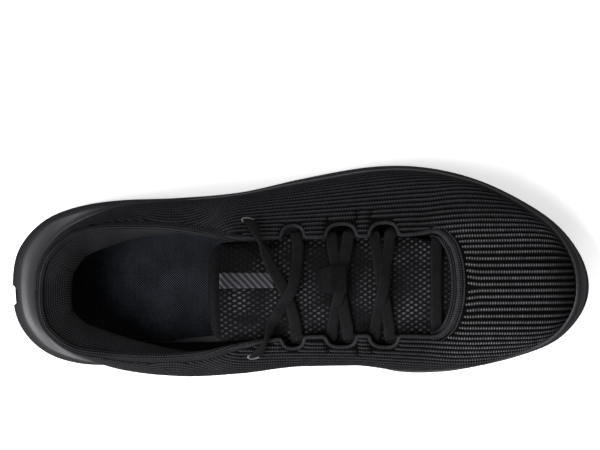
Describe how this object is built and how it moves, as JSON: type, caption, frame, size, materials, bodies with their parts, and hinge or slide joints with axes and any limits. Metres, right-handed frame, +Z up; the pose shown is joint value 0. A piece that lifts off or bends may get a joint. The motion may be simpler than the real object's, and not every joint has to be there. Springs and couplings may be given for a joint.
{
  "type": "running shoe",
  "caption": "Left-foot knitted running shoe with a moulded foam midsole, rubber outsole pads, padded tongue and a flat lace.",
  "frame": {"origin": "on the ground under the middle of the sole's bounding box", "axes": "+X to the toe, +Y to the lateral side of the left foot, +Z up"},
  "size_m": [0.3, 0.1082, 0.1036],
  "materials": {
    "knit": "engineered knit, ribbed",
    "foam": "moulded foam, satin",
    "outsole": "carbon rubber, matt",
    "lining": "brushed lining",
    "insole": "woven top cloth on foam",
    "board": "non-woven board",
    "padding": "padding foam",
    "lace": "flat woven polyester",
    "label": "woven label",
    "aglet": "clear-coated tip"
  },
  "bodies": {
    "shoe": {"upper_knit": "knit", "midsole": "foam", "toe_bumper": "outsole", "strobel_board": "board", "heel_counter": "board", "collar_foam": "padding", "heel_lining": "lining", "toe_puff": "board", "tongue_cover": "knit", "tongue_foam": "padding", "tongue_label": "label", "shoelace": "lace", "aglet_lateral": "aglet", "aglet_medial": "aglet", "lace_keeper": "label", "outsole_toe": "outsole", "outsole_heel_lateral": "outsole", "outsole_heel_medial": "outsole", "outsole_rearfoot_lateral": "outsole", "outsole_rearfoot_medial": "outsole", "outsole_ball_lateral": "outsole", "outsole_ball_medial": "outsole", "outsole_metatarsal_lateral": "outsole", "outsole_metatarsal_medial": "outsole", "outsole_forefoot_lateral": "outsole", "outsole_forefoot_medial": "outsole"},
    "tongue_flap": {"tongue_cover_top": "knit", "tongue_foam_top": "padding", "tongue_label_top": "label"},
    "insole_plate": {"insole": "insole"}
  },
  "joints": [
    {"name": "tongue_bend", "type": "hinge", "parent": "shoe", "child": "tongue_flap", "pos_m": [-0.02815, 0, 0.0952], "axis": [0, 1, 0], "range_deg": [0, 25], "stiffness_Nm_per_rad": 0.05},
    {"name": "insole_lift", "type": "hinge", "parent": "shoe", "child": "insole_plate", "pos_m": [0.1364, 0, 0.0258], "axis": [0, 1, 0], "range_deg": [0, 4]}
  ]
}
